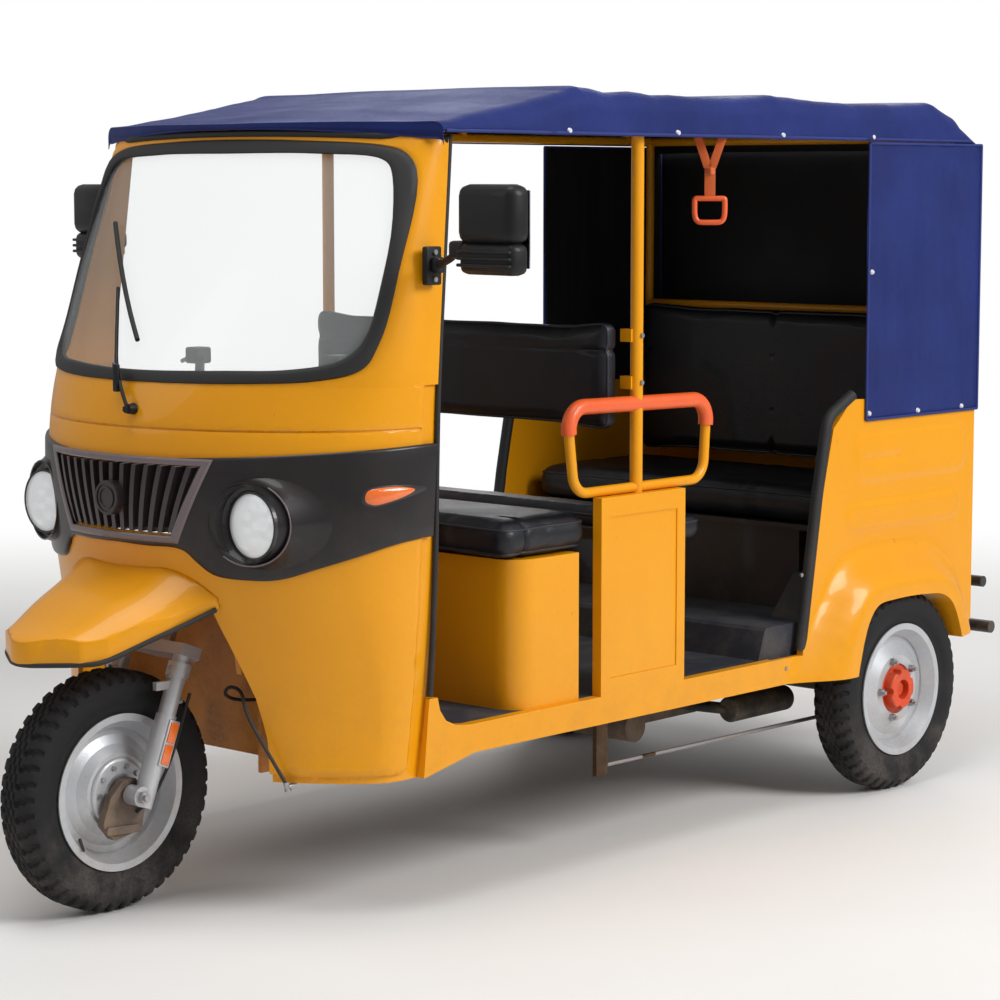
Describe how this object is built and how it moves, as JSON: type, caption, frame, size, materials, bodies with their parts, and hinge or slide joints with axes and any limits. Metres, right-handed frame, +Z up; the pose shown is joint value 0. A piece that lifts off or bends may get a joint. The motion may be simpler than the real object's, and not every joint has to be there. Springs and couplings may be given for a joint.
{
  "type": "auto rickshaw",
  "caption": "Three-wheeled passenger auto rickshaw with a rounded cowl, open doorways, canvas roof and curtains, bench seats and a steered front fork.",
  "frame": {"origin": "centre of the bounding box at ground level, under the tyres", "axes": "+Z up, the vehicle faces -Y, +X towards its left side"},
  "size_m": [1.7668, 2.972, 1.797],
  "materials": {
    "body_paint": "gloss orange-yellow paint",
    "frame_paint": "satin black paint",
    "well_paint": "satin orange-yellow paint",
    "charcoal_trim": "grained charcoal plastic",
    "grille_plastic": "semi-gloss dark plastic",
    "black_rubber": "matte black rubber",
    "screen_glass": "clear laminated glass",
    "lamp_bowl": "dark lamp bowl",
    "lamp_glass": "clear lamp lens",
    "amber_lens": "amber lens",
    "red_lens": "red lens",
    "mirror_plastic": "moulded black plastic",
    "seat_vinyl": "dark navy-black seat vinyl",
    "floor_mat": "blue-grey floor mat on sheet",
    "grip_orange": "orange-red grip",
    "canvas_blue": "blue coated canvas",
    "zinc_steel": "zinc plated steel",
    "fork_silver": "silver painted fork",
    "rim_silver": "silver painted pressed rim",
    "drum_red": "red-orange painted drum",
    "cast_brown": "brown-grey casting",
    "tyre_rubber": "black tyre rubber"
  },
  "bodies": {
    "body": {"chassis_frame": "frame_paint", "crossmembers": "frame_paint", "steering_head": "frame_paint", "floor_pan": "floor_mat", "side_sills": "body_paint", "front_cowl": "body_paint", "front_wheel_well": "well_paint", "windscreen_surround": "body_paint", "windscreen_seal": "black_rubber", "windscreen_glass": "screen_glass", "fascia_band": "charcoal_trim", "grille": "grille_plastic", "headlamp_bowls": "lamp_bowl", "headlamp_lenses": "lamp_glass", "indicators": "amber_lens", "wiper": "mirror_plastic", "mirrors": "mirror_plastic", "dashboard": "charcoal_trim", "driver_seat_box": "body_paint", "driver_cushion": "seat_vinyl", "driver_backrest": "seat_vinyl", "jump_seat": "seat_vinyl", "bench_box": "frame_paint", "rear_step": "floor_mat", "rear_bench": "seat_vinyl", "rear_backrest": "seat_vinyl", "side_panels": "body_paint", "grab_loops": "body_paint", "loop_grips": "grip_orange", "roof_frame": "body_paint", "strap_handles": "grip_orange", "roof_canopy": "canvas_blue", "canvas_curtains": "canvas_blue", "quarter_panel_left": "body_paint", "quarter_panel_right": "body_paint", "wheel_wells": "frame_paint", "quarter_trims": "black_rubber", "rear_panel": "body_paint", "tail_lamps": "red_lens", "rear_bumper": "frame_paint", "engine_block": "cast_brown", "silencer": "frame_paint", "brake_linkage": "zinc_steel", "rear_axle": "frame_paint", "leaf_springs": "frame_paint", "front_cable": "black_rubber", "front_fender": "body_paint"},
    "steering": {"fork_legs": "fork_silver", "fork": "fork_silver", "front_axle": "zinc_steel", "brake_plate": "cast_brown", "handlebar": "frame_paint"},
    "front_wheel": {"front_tyre": "tyre_rubber", "front_rim": "rim_silver"},
    "rear_wheel_left": {"rear_tyre_left": "tyre_rubber", "rear_rim_left": "rim_silver", "rear_drum_left": "drum_red"},
    "rear_wheel_right": {"rear_tyre_right": "tyre_rubber", "rear_rim_right": "rim_silver", "rear_drum_right": "drum_red"}
  },
  "joints": [
    {"name": "steer", "type": "hinge", "parent": "body", "child": "steering", "pos_m": [0, -1.168, 0.25], "axis": [0, 0.3633, 0.9317], "range_deg": [-35, 35]},
    {"name": "front_wheel_spin", "type": "hinge", "parent": "steering", "child": "front_wheel", "pos_m": [0, -1.221, 0.265], "axis": [1, 0, 0], "continuous": true},
    {"name": "rear_wheel_left_spin", "type": "hinge", "parent": "body", "child": "rear_wheel_left", "pos_m": [0.545, 0.957, 0.265], "axis": [1, 0, 0], "continuous": true},
    {"name": "rear_wheel_right_spin", "type": "hinge", "parent": "body", "child": "rear_wheel_right", "pos_m": [-0.545, 0.957, 0.265], "axis": [1, 0, 0], "continuous": true}
  ]
}
